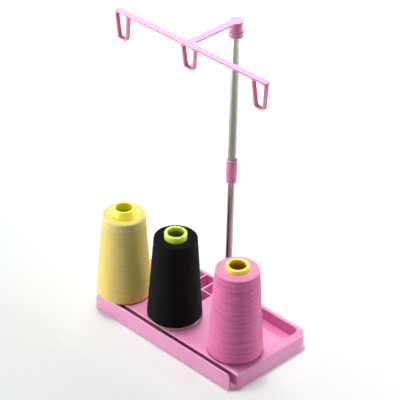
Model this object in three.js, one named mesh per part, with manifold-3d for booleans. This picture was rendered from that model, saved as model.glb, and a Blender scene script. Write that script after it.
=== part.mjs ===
// Thread stand: a moulded base with three spool pins, a telescopic mast and a
// swivelling T-shaped guide arm, holding three cones of sewing thread.
// Millimetres, +Z up. +X runs along the base to the right and +Y to the back, where
// the mast is. The pieces are drawn round the middle of the base. The finished group
// is then moved so that its origin is on the table under the middle of the whole.
import * as THREE from 'three';
import { mergeVertices } from 'three/addons/utils/BufferGeometryUtils.js';
import Module from 'manifold-3d';

// Base moulding
const BASE_LENGTH = 224;
const BASE_DEPTH = 121;
const DECK_Z = 21; // table to the top of the deck
const RIM_Z = 0.5; // table to the lower edge of the walls
const CORNER_R = 12;
const TOP_EDGE_R = 2;
const WALL = 2.2;
const DECK_THICKNESS = 2.4;

// Card slot along the front
const LIP_THICKNESS = 2.2;
const SLOT_WIDTH = 5.2;
const LEDGE_THICKNESS = 2.2;
const SLOT_DEPTH = 14;
const LIP_END_SETBACK = 6.5; // each end of the lip to the end of the base
const LIP_CORNER_R = 6;

// Compartments along the back
const BACK_RIM = 4.2;
const COMPARTMENT_DEPTH = 14.5;
const COMPARTMENT_FLOOR = 1.8;
const PARTITION = 1.8;
const CELL_ROWS = 2;
const CELL_COLUMNS = 5;
const CELL_LENGTH = 24.2; // one cell, front to back
const CELL_CORNER_R = 1.5;
const LEFT_END_DECK = 18; // deck left beside the cells
const RIGHT_END_DECK = 9.5; // deck left beside the tool pocket
const MAST_ISLAND = 22; // deck kept round the foot of the mast
const TOOL_POCKET_SETBACK = 1.2; // its back wall in front of the cells' back walls
const TOOL_POCKET_LENGTH = 25.6; // front to back
const TOOL_POCKET_CORNER_R = 7;

// Underside of the base
const RIB_THICKNESS = 1.6;
const RIB_LIFT = 4; // rib edges above the rim
const FOOT_R = 6;
const FOOT_END_SETBACK = 24; // foot axis to the end of the base
const FOOT_FROM_PIN = 13.6; // front feet in front of the pins
const FOOT_BACK_SETBACK = 16.5;
const FOOT_BOSS_WALL = 1;

// Spool pins
const PIN_SHARE = 0.366; // outer pins from the middle, as a share of the base length
const PIN_HEIGHT = 50; // above the deck
const PIN_R = 3.4;
const PIN_TIP_R = 2.8;
const PIN_FLANGE_R = 9;
const PIN_FLANGE_THICKNESS = 2;
const PIN_SPIGOT_R = 3;
const PIN_FIN_COUNT = 3;
const PIN_FIN_REACH = 2.6; // fin beyond the stem
const PIN_FIN_THICKNESS = 1.2;
const PIN_FIN_HEIGHT = 12;
const PIN_BOSS_R = 5.6;

// Screws from below
const SCREW_R = 1.5;
const SCREW_HEAD_R = 3;
const SCREW_HEAD_HEIGHT = 1.6;
const SCREW_GRIP = 7; // screw length above its head
const MAST_SCREW_R = 2;
const MAST_SCREW_HEAD_R = 3.8;
const MAST_SCREW_HEAD_HEIGHT = 1.8;
const MAST_SCREW_GRIP = 12;
const WASHER_R = 5.5;
const WASHER_THICKNESS = 0.8;

// Mast
const MAST_BACK_SETBACK = 14.5; // mast axis to the back of the base
const MAST_SOCKET_HEIGHT = 12; // above the deck
const MAST_SOCKET_R = 8.5;
const MAST_SOCKET_TOP_R = 7;
const ROD_R = 3.8;
const ROD_WALL = 0.8;
const ROD_TOP_Z = 215;
const INSERT_LENGTH = 14;
const TUBE_R = 4.6;
const TUBE_WALL = 0.5;
const BUSH_CAP = 3; // guide bush above the end of the rod
const BUSH_STEM = 9; // guide bush inside the rod
const DIMPLE_ABOVE_COLLAR = 5;
const DIMPLE_R = 1.6;
const DIMPLE_DEPTH = 0.3;
const DIMPLE_BEARING_DEG = -50; // seen from the front right

// Collar at the joint of the mast
const COLLAR_R = 6.1;
const COLLAR_BOTTOM_Z = 173;
const COLLAR_HEIGHT = 30.5;
const COLLAR_LOWER_BAND = 8;
const COLLAR_BAND_STEP = 0.2;
const COLLAR_EDGE_R = 1.4;
const COLLAR_CUP_DEPTH = 2.2;
const COLLAR_CUP_RIM = 0.9;
const COLLAR_LIP = 2;
const GRIP_LENGTH = 12;

// Head plug that the arm turns on
const HEAD_FLANGE_R = 8;
const HEAD_SHOULDER_R = 6.8;
const HEAD_SHOULDER_HEIGHT = 1.2; // sloping edge on top of the flange
const HEAD_TOP_THICKNESS = 2.6; // over the end of the tube
const HEAD_SKIRT_HEIGHT = 3.4; // down over the end of the tube
const HEAD_EDGE = 0.4;
const HEAD_TAIL_LENGTH = 14; // inside the tube
const SPIGOT_R = 3.6;
const SPIGOT_HEIGHT = 8.5;
const SPIGOT_BEVEL = 0.7;

// Guide arm
const ARM_TOP_Z = 373.4;
const ARM_THICKNESS = 2.4;
const ARM_REACH = 72.4; // mast axis to the middle of the cross bar
const BAR_LENGTH = 217.6;
const BAR_SHIFT = 4.2; // middle of the bar to the right of the stem
const BAR_WIDTH = 7.2;
const BAR_END_R = 1.2;
const STEM_WIDTH = 8.6;
const STEM_FILLET_R = 5;
const HUB_R = 6.8;
const HUB_EDGE = 0.5;
const HUB_HEIGHT = 12.3; // with the thickness of the arm
const HUB_CAP_R = 7.8;
const HUB_CAP_THICKNESS = 1.2;
const LOOP_HEIGHT = 29.8; // end loops, below the bar
const MIDDLE_LOOP_HEIGHT = 24.9;
const LOOP_TOP_WIDTH = 19.9;
const LOOP_LEFT_TAPER = 4.6; // drawn in towards the bottom
const LOOP_RIGHT_TAPER = 1.7;
const LOOP_DEPTH = 5; // back from the front of the bar
const LOOP_WALL = 2;
const LOOP_OUTER_R = 3.5;
const LOOP_INNER_R = 2.5;

// Cones of thread
const CORE_BASE_R = 27;
const CORE_BAND_HEIGHT = 12; // steeper band at the top of the core
const CORE_WALL = 1.5;
const CORE_MOUTH_R = 9.3;
const CORE_LIP_HEIGHT = 4; // thick lip round the mouth
const CORE_RIM_ROLL = 0.8;
const SLIT_WIDTH = 0.9; // thread catches cut in the lip
const SLIT_DEPTH = 3;
const PACKAGE_TOP_R = 24.2;
const PACKAGE_SHOULDER_R = 1.8;
const PACKAGE_HEEL_R = 2.4;
const LAY_TURNS = 14;
const LAY_RELIEF = 0.25;

// Yellow cone: its core, its thread, and how far it stands from its pin
const YELLOW_CORE_HEIGHT = 113;
const YELLOW_BAND_R = 13.4; // at the foot of the band
const YELLOW_RIM_R = 11.6;
const YELLOW_BASE_R = 31.8;
const YELLOW_LIFT = 0.6; // thread off the deck
const YELLOW_SHOWING = 8; // core above the edge of the thread
const YELLOW_TOP_RISE = -2.9; // top of the thread, from its edge in to the core
const YELLOW_OFF_X = -5.8;
const YELLOW_OFF_Y = -7;

// Black cone
const BLACK_CORE_HEIGHT = 112;
const BLACK_BAND_R = 12.8;
const BLACK_RIM_R = 12.6;
const BLACK_BASE_R = 31.3;
const BLACK_LIFT = 3;
const BLACK_SHOWING = 6;
const BLACK_TOP_RISE = -1;
const BLACK_OFF_X = -13.8;
const BLACK_OFF_Y = 1.2;
const BLACK_SLIT_DEGREES = [-15, 103];

// Pink cone
const PINK_CORE_HEIGHT = 112.6;
const PINK_BAND_R = 12.9;
const PINK_RIM_R = 12.8;
const PINK_BASE_R = 31.3;
const PINK_LIFT = 1.8;
const PINK_SHOWING = 5.6;
const PINK_TOP_RISE = 0.6;
const PINK_OFF_X = -5.8;
const PINK_OFF_Y = 5.2;
const PINK_SLIT_DEGREES = [8];

// Clearances
const FIT = 0.3; // round a piece in its seat
const SEAT = 0.2; // under a piece on its seat

// Roundness of the facets
const ROUND = 24;
const SMALL_ROUND = 16;
const CORNER_STEPS = 5;
const FINE_STEPS = 2;
const EDGE_STEPS = 3;
const DRAWN_IN = 1 - Math.SQRT1_2; // of a radius, at the middle of its rounding
const QUARTER_TURN = Math.PI / 2;

// Places that follow from the sizes above
const DECK_UNDERSIDE_Z = DECK_Z - DECK_THICKNESS;
const FRONT_Y = -BASE_DEPTH / 2;
const BACK_Y = BASE_DEPTH / 2;
const DECK_FRONT_Y = FRONT_Y + LIP_THICKNESS + SLOT_WIDTH;
const LEDGE_Z = DECK_Z - SLOT_DEPTH;
const FLOOR_Z = DECK_Z - COMPARTMENT_DEPTH;
const TUB_UNDERSIDE_Z = FLOOR_Z - COMPARTMENT_FLOOR;
const POCKET_BACK_Y = BACK_Y - BACK_RIM;
const CELLS_FRONT_Y = POCKET_BACK_Y - CELL_ROWS * (CELL_LENGTH + PARTITION) + PARTITION;
const TOOL_POCKET_BACK_Y = POCKET_BACK_Y - TOOL_POCKET_SETBACK;
const TOOL_POCKET_FRONT_Y = TOOL_POCKET_BACK_Y - TOOL_POCKET_LENGTH;
const TOOL_POCKET_RIGHT_X = BASE_LENGTH / 2 - RIGHT_END_DECK;
const ROD_SEAT_Z = FLOOR_Z + COMPARTMENT_FLOOR;
const MAST_Y = BACK_Y - MAST_BACK_SETBACK;
const PIN_Y = MAST_Y - ARM_REACH;
const PIN_SPACING = BASE_LENGTH * PIN_SHARE;
const RIB_X = PIN_SPACING / 2;
const FOOT_X = BASE_LENGTH / 2 - FOOT_END_SETBACK;
const FOOT_FRONT_Y = PIN_Y - FOOT_FROM_PIN;
const FOOT_REAR_Y = BACK_Y - FOOT_BACK_SETBACK;
const RIB_EDGE_Z = RIM_Z + RIB_LIFT;
const COLLAR_TOP_Z = COLLAR_BOTTOM_Z + COLLAR_HEIGHT;
const ARM_UNDERSIDE_Z = ARM_TOP_Z - ARM_THICKNESS;
const HUB_Z = ARM_TOP_Z - HUB_HEIGHT;
const HEAD_TOP_Z = HUB_Z - SEAT;
const TUBE_TOP_Z = HEAD_TOP_Z - HEAD_TOP_THICKNESS - SEAT;
const LOOP_SPACING = (BAR_LENGTH - LOOP_TOP_WIDTH) / 2;
const PIN_PLACES = { left: -PIN_SPACING, middle: 0, right: PIN_SPACING };

const wasm = await Module();
wasm.setup();

// Closed solids from three.js geometry
function toSolid(geometry) {
  const bare = new THREE.BufferGeometry();
  bare.setAttribute('position', geometry.getAttribute('position').clone());
  if (geometry.index) bare.setIndex(geometry.index.clone());
  const merged = mergeVertices(bare, 1e-4);
  const corners = merged.index.array;
  const points = merged.getAttribute('position').array;
  const kept = [];
  for (let i = 0; i < corners.length; i += 3) {
    const [a, b, c] = [corners[i], corners[i + 1], corners[i + 2]];
    if (a !== b && b !== c && c !== a) kept.push(a, b, c);
  }
  if (signedVolume(points, kept) < 0) kept.reverse();
  const mesh = new wasm.Mesh({
    numProp: 3,
    vertProperties: new Float32Array(points),
    triVerts: new Uint32Array(kept),
  });
  return new wasm.Manifold(mesh);
}

function signedVolume(points, corners) {
  const a = new THREE.Vector3();
  const b = new THREE.Vector3();
  const c = new THREE.Vector3();
  let total = 0;
  for (let i = 0; i < corners.length; i += 3) {
    a.fromArray(points, corners[i] * 3);
    b.fromArray(points, corners[i + 1] * 3);
    c.fromArray(points, corners[i + 2] * 3);
    total += a.dot(b.cross(c));
  }
  return total;
}

function toGeometry(solid) {
  const { vertProperties, triVerts } = solid.getMesh();
  const geometry = new THREE.BufferGeometry();
  geometry.setAttribute('position', new THREE.BufferAttribute(vertProperties, 3));
  geometry.setIndex(new THREE.BufferAttribute(triVerts, 1));
  geometry.computeVertexNormals();
  return geometry;
}

function join(solids) {
  return solids.reduce((whole, piece) => whole.add(piece));
}

function cut(solid, tools) {
  return tools.reduce((left, tool) => left.subtract(tool), solid);
}

// Basic forms
function box(x0, x1, y0, y1, z0, z1) {
  const geometry = new THREE.BoxGeometry(x1 - x0, y1 - y0, z1 - z0);
  geometry.translate((x0 + x1) / 2, (y0 + y1) / 2, (z0 + z1) / 2);
  return toSolid(geometry);
}

// A turned piece: the profile lists [radius, z] points
function turned(profile, x = 0, y = 0, facets = ROUND) {
  const points = profile.map(([r, z]) => new THREE.Vector2(r, z));
  const geometry = new THREE.LatheGeometry(points, facets);
  geometry.rotateX(Math.PI / 2);
  geometry.translate(x, y, 0);
  return toSolid(geometry);
}

function cylinder(r, z0, z1, x = 0, y = 0, facets = ROUND) {
  return turned([[0, z0], [r, z0], [r, z1], [0, z1]], x, y, facets);
}

function ring(inner, outer, z0, z1, x = 0, y = 0) {
  return turned([[inner, z0], [outer, z0], [outer, z1], [inner, z1], [inner, z0]], x, y);
}

function prism(shape, z0, z1) {
  const options = { depth: z1 - z0, bevelEnabled: false, curveSegments: FINE_STEPS };
  const geometry = new THREE.ExtrudeGeometry(shape, options);
  geometry.translate(0, 0, z0);
  return toSolid(geometry);
}

// A shape drawn in the X-Z plane, given a thickness along Y
function slab(shape, y0, y1) {
  const options = { depth: y1 - y0, bevelEnabled: false, curveSegments: FINE_STEPS };
  const geometry = new THREE.ExtrudeGeometry(shape, options);
  geometry.rotateX(Math.PI / 2);
  geometry.translate(0, y1, 0);
  return toSolid(geometry);
}

// A quarter of a circle, starting after a number of quarter turns
function quarterArc(shape, x, y, r, quarters) {
  const start = quarters * QUARTER_TURN;
  shape.absarc(x, y, r, start, start + QUARTER_TURN, false);
}

function roundedRectangle(x0, x1, y0, y1, r) {
  const shape = new THREE.Shape();
  shape.moveTo(x0 + r, y0);
  shape.lineTo(x1 - r, y0);
  quarterArc(shape, x1 - r, y0 + r, r, -1);
  shape.lineTo(x1, y1 - r);
  quarterArc(shape, x1 - r, y1 - r, r, 0);
  shape.lineTo(x0 + r, y1);
  quarterArc(shape, x0 + r, y1 - r, r, 1);
  shape.lineTo(x0, y0 + r);
  quarterArc(shape, x0 + r, y0 + r, r, 2);
  return shape;
}

// A polygon given as [x, y, rounding] corners
function roundedPolygon(corners) {
  const shape = new THREE.Shape();
  corners.forEach(([x, y, r], i) => {
    const here = new THREE.Vector2(x, y);
    const before = new THREE.Vector2(...corners.at(i - 1));
    const after = new THREE.Vector2(...corners[(i + 1) % corners.length]);
    const arrive = before.sub(here).normalize();
    const leave = after.sub(here).normalize();
    const setback = r / Math.tan(arrive.angleTo(leave) / 2);
    const start = here.clone().addScaledVector(arrive, setback);
    const end = here.clone().addScaledVector(leave, setback);
    if (i === 0) shape.moveTo(start.x, start.y);
    else shape.lineTo(start.x, start.y);
    if (r > 0) shape.quadraticCurveTo(here.x, here.y, end.x, end.y);
  });
  shape.closePath();
  return shape;
}

// A closed skin through rows of points, each row a closed ring
function skin(rows) {
  const positions = [];
  const across = rows[0].length;
  const put = (point) => positions.push(point.x, point.y, point.z);
  for (let j = 0; j + 1 < rows.length; j += 1) {
    for (let i = 0; i < across; i += 1) {
      const next = (i + 1) % across;
      [rows[j][i], rows[j][next], rows[j + 1][next]].forEach(put);
      [rows[j][i], rows[j + 1][next], rows[j + 1][i]].forEach(put);
    }
  }
  const geometry = new THREE.BufferGeometry();
  geometry.setAttribute('position', new THREE.Float32BufferAttribute(positions, 3));
  return toSolid(geometry);
}

// One ring of the base outline, drawn in by an inset
function baseOutline(inset, z) {
  const x = BASE_LENGTH / 2 - CORNER_R;
  const y = BASE_DEPTH / 2 - CORNER_R;
  const r = CORNER_R - inset;
  const centres = [[x, -y], [x, y], [-x, y], [-x, -y]];
  return centres.flatMap(([cx, cy], corner) => {
    const row = [];
    for (let i = 0; i <= CORNER_STEPS; i += 1) {
      const angle = (corner - 1 + i / CORNER_STEPS) * QUARTER_TURN;
      row.push(new THREE.Vector3(cx + r * Math.cos(angle), cy + r * Math.sin(angle), z));
    }
    return row;
  });
}

// The base block with its rounded top edge, lofted from outlines
function baseBlock(inset, z0, z1, edgeR) {
  const rows = [baseOutline(inset, z0)];
  for (let i = 0; i <= EDGE_STEPS; i += 1) {
    const angle = edgeR > 0 ? (i / EDGE_STEPS) * QUARTER_TURN : 0;
    const drawnIn = edgeR * (1 - Math.cos(angle));
    rows.push(baseOutline(inset + drawnIn, z1 - edgeR + edgeR * Math.sin(angle)));
  }
  const centre = (z) => rows[0].map(() => new THREE.Vector3(0, 0, z));
  return skin([centre(z0), ...rows, centre(z1)]);
}

// Plans of the cells, as [x0, x1, y0, y1]
function cellPlans() {
  const right = -MAST_ISLAND / 2;
  const left = LEFT_END_DECK - BASE_LENGTH / 2;
  const pitch = (right - left + PARTITION) / CELL_COLUMNS;
  const plans = [];
  for (let row = 0; row < CELL_ROWS; row += 1) {
    const y1 = POCKET_BACK_Y - row * (CELL_LENGTH + PARTITION);
    for (let column = 0; column < CELL_COLUMNS; column += 1) {
      const x1 = right - column * pitch;
      plans.push([x1 - pitch + PARTITION, x1, y1 - CELL_LENGTH, y1]);
    }
  }
  return plans;
}

// Front lip, standing on the ledge, with rounded top corners
function frontLip() {
  const end = BASE_LENGTH / 2 - LIP_END_SETBACK;
  const shape = new THREE.Shape();
  shape.moveTo(-end, RIM_Z);
  shape.lineTo(end, RIM_Z);
  shape.lineTo(end, DECK_Z - LIP_CORNER_R);
  quarterArc(shape, end - LIP_CORNER_R, DECK_Z - LIP_CORNER_R, LIP_CORNER_R, 0);
  shape.lineTo(-end + LIP_CORNER_R, DECK_Z);
  quarterArc(shape, -end + LIP_CORNER_R, DECK_Z - LIP_CORNER_R, LIP_CORNER_R, 1);
  shape.closePath();
  return slab(shape, FRONT_Y, FRONT_Y + LIP_THICKNESS);
}

function undersideRibs() {
  const insideX = BASE_LENGTH / 2 - WALL / 2;
  const half = RIB_THICKNESS / 2;
  const long = box(-insideX, insideX, PIN_Y - half, PIN_Y + half, RIB_EDGE_Z, DECK_UNDERSIDE_Z);
  const cross = [[-RIB_X, CELLS_FRONT_Y], [RIB_X, TOOL_POCKET_FRONT_Y]].map(([x, yEnd]) => {
    return box(x - half, x + half, DECK_FRONT_Y, yEnd, RIB_EDGE_Z, DECK_UNDERSIDE_Z);
  });
  return [long, ...cross];
}

// The tubs that hang from the deck round the cells and round the tool pocket
function tubs() {
  const t = PARTITION;
  const cellsLeft = LEFT_END_DECK - BASE_LENGTH / 2;
  const cellBlock = roundedRectangle(
    cellsLeft - t, t - MAST_ISLAND / 2, CELLS_FRONT_Y - t, POCKET_BACK_Y + t, CELL_CORNER_R + t,
  );
  const toolBlock = roundedRectangle(
    MAST_ISLAND / 2 - t, TOOL_POCKET_RIGHT_X + t, TOOL_POCKET_FRONT_Y - t, TOOL_POCKET_BACK_Y + t,
    TOOL_POCKET_CORNER_R + t,
  );
  return [cellBlock, toolBlock].map((shape) => prism(shape, TUB_UNDERSIDE_Z, DECK_UNDERSIDE_Z));
}

function compartmentSpaces() {
  const above = DECK_Z + WALL;
  const cells = cellPlans().map(([x0, x1, y0, y1]) => {
    return prism(roundedRectangle(x0, x1, y0, y1, CELL_CORNER_R), FLOOR_Z, above);
  });
  const toolShape = roundedRectangle(
    MAST_ISLAND / 2, TOOL_POCKET_RIGHT_X, TOOL_POCKET_FRONT_Y, TOOL_POCKET_BACK_Y, TOOL_POCKET_CORNER_R,
  );
  return [...cells, prism(toolShape, FLOOR_Z, above)];
}

// Outer walls, deck and front ledge, open below
function baseShell() {
  const outside = baseBlock(0, RIM_Z, DECK_Z, TOP_EDGE_R);
  const beyond = BASE_LENGTH;
  const under = RIM_Z - WALL;
  const slotSpace = box(-beyond, beyond, -beyond, DECK_FRONT_Y, LEDGE_Z, DECK_Z + beyond);
  const deckVoid = baseBlock(WALL, under, DECK_UNDERSIDE_Z, 0);
  const behindSlot = box(-beyond, beyond, DECK_FRONT_Y + WALL, beyond, under, DECK_Z);
  const underLedge = box(-beyond, beyond, -beyond, beyond, under, LEDGE_Z - LEDGE_THICKNESS);
  const hollow = deckVoid.intersect(join([behindSlot, underLedge]));
  return cut(join([cut(outside, [slotSpace]), frontLip()]), [hollow]);
}

function baseTray() {
  const pinXs = Object.values(PIN_PLACES);
  const pinBosses = pinXs.map((x) => {
    return cylinder(PIN_BOSS_R, RIB_EDGE_Z, DECK_UNDERSIDE_Z, x, PIN_Y, SMALL_ROUND);
  });
  const footBosses = [-FOOT_X, FOOT_X].map((x) => {
    const r = FOOT_R + FOOT_BOSS_WALL;
    return cylinder(r, TUB_UNDERSIDE_Z, DECK_UNDERSIDE_Z, x, FOOT_FRONT_Y, SMALL_ROUND);
  });
  const socketTopZ = DECK_Z + MAST_SOCKET_HEIGHT;
  const socket = turned([
    [0, TUB_UNDERSIDE_Z], [MAST_SOCKET_R, TUB_UNDERSIDE_Z], [MAST_SOCKET_R, DECK_Z],
    [MAST_SOCKET_TOP_R, socketTopZ - TOP_EDGE_R], [MAST_SOCKET_TOP_R - TOP_EDGE_R, socketTopZ],
    [0, socketTopZ],
  ], 0, MAST_Y);
  const pinHoles = pinXs.flatMap((x) => [
    cylinder(PIN_SPIGOT_R + FIT, RIB_EDGE_Z + PIN_FLANGE_THICKNESS, DECK_Z + WALL, x, PIN_Y, SMALL_ROUND),
    cylinder(SCREW_R + FIT, RIM_Z, DECK_Z, x, PIN_Y, SMALL_ROUND),
  ]);
  const mastHoles = [
    cylinder(ROD_R + FIT, ROD_SEAT_Z, socketTopZ + WALL, 0, MAST_Y),
    cylinder(MAST_SCREW_R + FIT, RIM_Z, DECK_Z, 0, MAST_Y, SMALL_ROUND),
  ];
  const filled = join([baseShell(), ...tubs(), ...pinBosses, ...footBosses, socket, ...undersideRibs()]);
  return cut(filled, [...compartmentSpaces(), ...pinHoles, ...mastHoles]);
}

function rubberFoot(x, y) {
  const topZ = TUB_UNDERSIDE_Z - SEAT;
  const chamfer = FOOT_R / 8;
  return turned([
    [0, 0], [FOOT_R - chamfer, 0], [FOOT_R, chamfer], [FOOT_R, topZ], [0, topZ],
  ], x, y, SMALL_ROUND);
}

// A pin: a flange on the deck, a spigot in its boss, a tapered stem and three low fins
function spoolPin(x) {
  const seatZ = DECK_Z + SEAT;
  const tipZ = DECK_Z + PIN_HEIGHT;
  const spigotZ = RIB_EDGE_Z + PIN_FLANGE_THICKNESS + SEAT;
  const flangeZ = seatZ + PIN_FLANGE_THICKNESS;
  const stem = turned([
    [0, spigotZ], [PIN_SPIGOT_R, spigotZ], [PIN_SPIGOT_R, seatZ], [PIN_FLANGE_R, seatZ],
    [PIN_FLANGE_R, flangeZ - PIN_FLANGE_THICKNESS / 2], [PIN_FLANGE_R - PIN_FLANGE_THICKNESS / 2, flangeZ],
    [PIN_R, flangeZ], [PIN_TIP_R, tipZ - PIN_TIP_R],
    [PIN_TIP_R * (1 - DRAWN_IN), tipZ - PIN_TIP_R * DRAWN_IN], [0, tipZ],
  ], 0, 0, SMALL_ROUND);
  const reach = PIN_R + PIN_FIN_REACH;
  const outline = new THREE.Shape([
    new THREE.Vector2(0, seatZ), new THREE.Vector2(reach, seatZ),
    new THREE.Vector2(reach, flangeZ + PIN_FIN_HEIGHT / 2),
    new THREE.Vector2(PIN_TIP_R, flangeZ + PIN_FIN_HEIGHT), new THREE.Vector2(0, flangeZ + PIN_FIN_HEIGHT),
  ]);
  const fin = slab(outline, -PIN_FIN_THICKNESS / 2, PIN_FIN_THICKNESS / 2);
  const fins = [];
  for (let i = 0; i < PIN_FIN_COUNT; i += 1) fins.push(fin.rotate([0, 0, (360 * i) / PIN_FIN_COUNT]));
  const pilot = cylinder(SCREW_R + FIT, 0, RIB_EDGE_Z + SCREW_GRIP + FIT, 0, 0, SMALL_ROUND);
  return cut(join([stem, ...fins]), [pilot]).translate([x, PIN_Y, 0]);
}

// A pan-head screw that points up from below
function screwUp(x, y, headTopZ, r, headR, headHeight, grip) {
  const headZ = headTopZ - headHeight;
  return turned([
    [0, headZ], [headR - headHeight / 2, headZ], [headR, headZ + headHeight / 2], [headR, headTopZ],
    [r, headTopZ], [r, headTopZ + grip - r], [0, headTopZ + grip],
  ], x, y, SMALL_ROUND);
}

// Telescopic mast
function lowerRod() {
  return ring(ROD_R - ROD_WALL, ROD_R, ROD_SEAT_Z + SEAT, ROD_TOP_Z, 0, MAST_Y);
}

function rodFootInsert() {
  const bottomZ = ROD_SEAT_Z + SEAT;
  const outer = ROD_R - ROD_WALL - FIT / 2;
  const blank = cylinder(outer, bottomZ, bottomZ + INSERT_LENGTH, 0, MAST_Y);
  const screwTopZ = TUB_UNDERSIDE_Z - WASHER_THICKNESS + MAST_SCREW_GRIP;
  const threaded = cylinder(MAST_SCREW_R + FIT / 2, 0, screwTopZ, 0, MAST_Y, SMALL_ROUND);
  return cut(blank, [threaded]);
}

function mastWasher() {
  const topZ = TUB_UNDERSIDE_Z - SEAT / 2;
  return ring(MAST_SCREW_R + FIT, WASHER_R, topZ - WASHER_THICKNESS, topZ, 0, MAST_Y);
}

function mastScrew() {
  const headTopZ = TUB_UNDERSIDE_Z - SEAT - WASHER_THICKNESS;
  const grip = MAST_SCREW_GRIP - SEAT;
  return screwUp(0, MAST_Y, headTopZ, MAST_SCREW_R, MAST_SCREW_HEAD_R, MAST_SCREW_HEAD_HEIGHT, grip);
}

function rodGuideBush() {
  const inside = ROD_R - ROD_WALL - FIT / 2;
  const outside = (ROD_R + TUBE_R - TUBE_WALL) / 2;
  const seatZ = ROD_TOP_Z + SEAT;
  const bevel = outside - inside;
  return turned([
    [0, ROD_TOP_Z - BUSH_STEM], [inside, ROD_TOP_Z - BUSH_STEM], [inside, seatZ], [outside, seatZ],
    [outside, seatZ + BUSH_CAP - bevel], [inside, seatZ + BUSH_CAP], [0, seatZ + BUSH_CAP],
  ], 0, MAST_Y);
}

function upperTube() {
  const bottomZ = COLLAR_BOTTOM_Z + COLLAR_LIP + GRIP_LENGTH + 2 * SEAT;
  const tube = ring(TUBE_R - TUBE_WALL, TUBE_R, bottomZ, TUBE_TOP_Z, 0, MAST_Y);
  const bearing = THREE.MathUtils.degToRad(DIMPLE_BEARING_DEG);
  const out = TUBE_R - DIMPLE_DEPTH + DIMPLE_R;
  const dimple = new THREE.SphereGeometry(DIMPLE_R, ROUND / 2, ROUND / 4);
  dimple.translate(
    out * Math.cos(bearing), MAST_Y + out * Math.sin(bearing), COLLAR_TOP_Z + DIMPLE_ABOVE_COLLAR,
  );
  return cut(tube, [toSolid(dimple)]);
}

function heightCollar() {
  const tubeBore = TUBE_R + FIT;
  const rodBore = ROD_R + FIT;
  const bandR = COLLAR_R - COLLAR_BAND_STEP;
  const cupR = COLLAR_R - COLLAR_CUP_RIM;
  const lipZ = COLLAR_BOTTOM_Z + COLLAR_LIP;
  const bandZ = COLLAR_BOTTOM_Z + COLLAR_LOWER_BAND;
  return turned([
    [rodBore, COLLAR_BOTTOM_Z], [bandR - COLLAR_EDGE_R, COLLAR_BOTTOM_Z],
    [bandR - COLLAR_EDGE_R * DRAWN_IN, COLLAR_BOTTOM_Z + COLLAR_EDGE_R * DRAWN_IN],
    [bandR, COLLAR_BOTTOM_Z + COLLAR_EDGE_R], [bandR, bandZ], [COLLAR_R, bandZ + COLLAR_BAND_STEP],
    [COLLAR_R, COLLAR_TOP_Z - COLLAR_CUP_RIM / 2], [COLLAR_R - COLLAR_CUP_RIM / 2, COLLAR_TOP_Z],
    [cupR, COLLAR_TOP_Z], [tubeBore, COLLAR_TOP_Z - COLLAR_CUP_DEPTH], [tubeBore, lipZ],
    [rodBore, lipZ], [rodBore, COLLAR_BOTTOM_Z],
  ], 0, MAST_Y);
}

// Nylon bush in the collar that grips the rod
function collarGripBush() {
  const z0 = COLLAR_BOTTOM_Z + COLLAR_LIP + SEAT;
  return ring(ROD_R + FIT / 2, TUBE_R, z0, z0 + GRIP_LENGTH, 0, MAST_Y);
}

// Plug in the top of the tube: a skirted flange outside, a tail inside, a spigot on top
function mastHeadPlug() {
  const tailR = TUBE_R - TUBE_WALL - FIT / 2;
  const skirtZ = TUBE_TOP_Z - HEAD_SKIRT_HEIGHT;
  const tailZ = TUBE_TOP_Z - HEAD_TAIL_LENGTH;
  const underTopZ = TUBE_TOP_Z + SEAT;
  const tipZ = HEAD_TOP_Z + SPIGOT_HEIGHT;
  return turned([
    [0, tailZ], [tailR, tailZ], [tailR, underTopZ], [TUBE_R + FIT, underTopZ], [TUBE_R + FIT, skirtZ],
    [HEAD_FLANGE_R - HEAD_EDGE, skirtZ], [HEAD_FLANGE_R, skirtZ + HEAD_EDGE],
    [HEAD_FLANGE_R, HEAD_TOP_Z - HEAD_SHOULDER_HEIGHT], [HEAD_SHOULDER_R, HEAD_TOP_Z],
    [SPIGOT_R, HEAD_TOP_Z], [SPIGOT_R, tipZ - SPIGOT_BEVEL], [SPIGOT_R - SPIGOT_BEVEL, tipZ], [0, tipZ],
  ], 0, MAST_Y);
}

// Plan of the guide arm: the stem along Y and the cross bar at its front end
function armPlan() {
  const left = BAR_SHIFT - BAR_LENGTH / 2;
  const right = BAR_SHIFT + BAR_LENGTH / 2;
  const front = -ARM_REACH - BAR_WIDTH / 2;
  const back = -ARM_REACH + BAR_WIDTH / 2;
  const side = STEM_WIDTH / 2;
  return roundedPolygon([
    [left, front, BAR_END_R], [right, front, BAR_END_R], [right, back, BAR_END_R],
    [side, back, STEM_FILLET_R], [side, 0, 0], [-side, 0, 0], [-side, back, STEM_FILLET_R],
    [left, back, BAR_END_R],
  ]);
}

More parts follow.
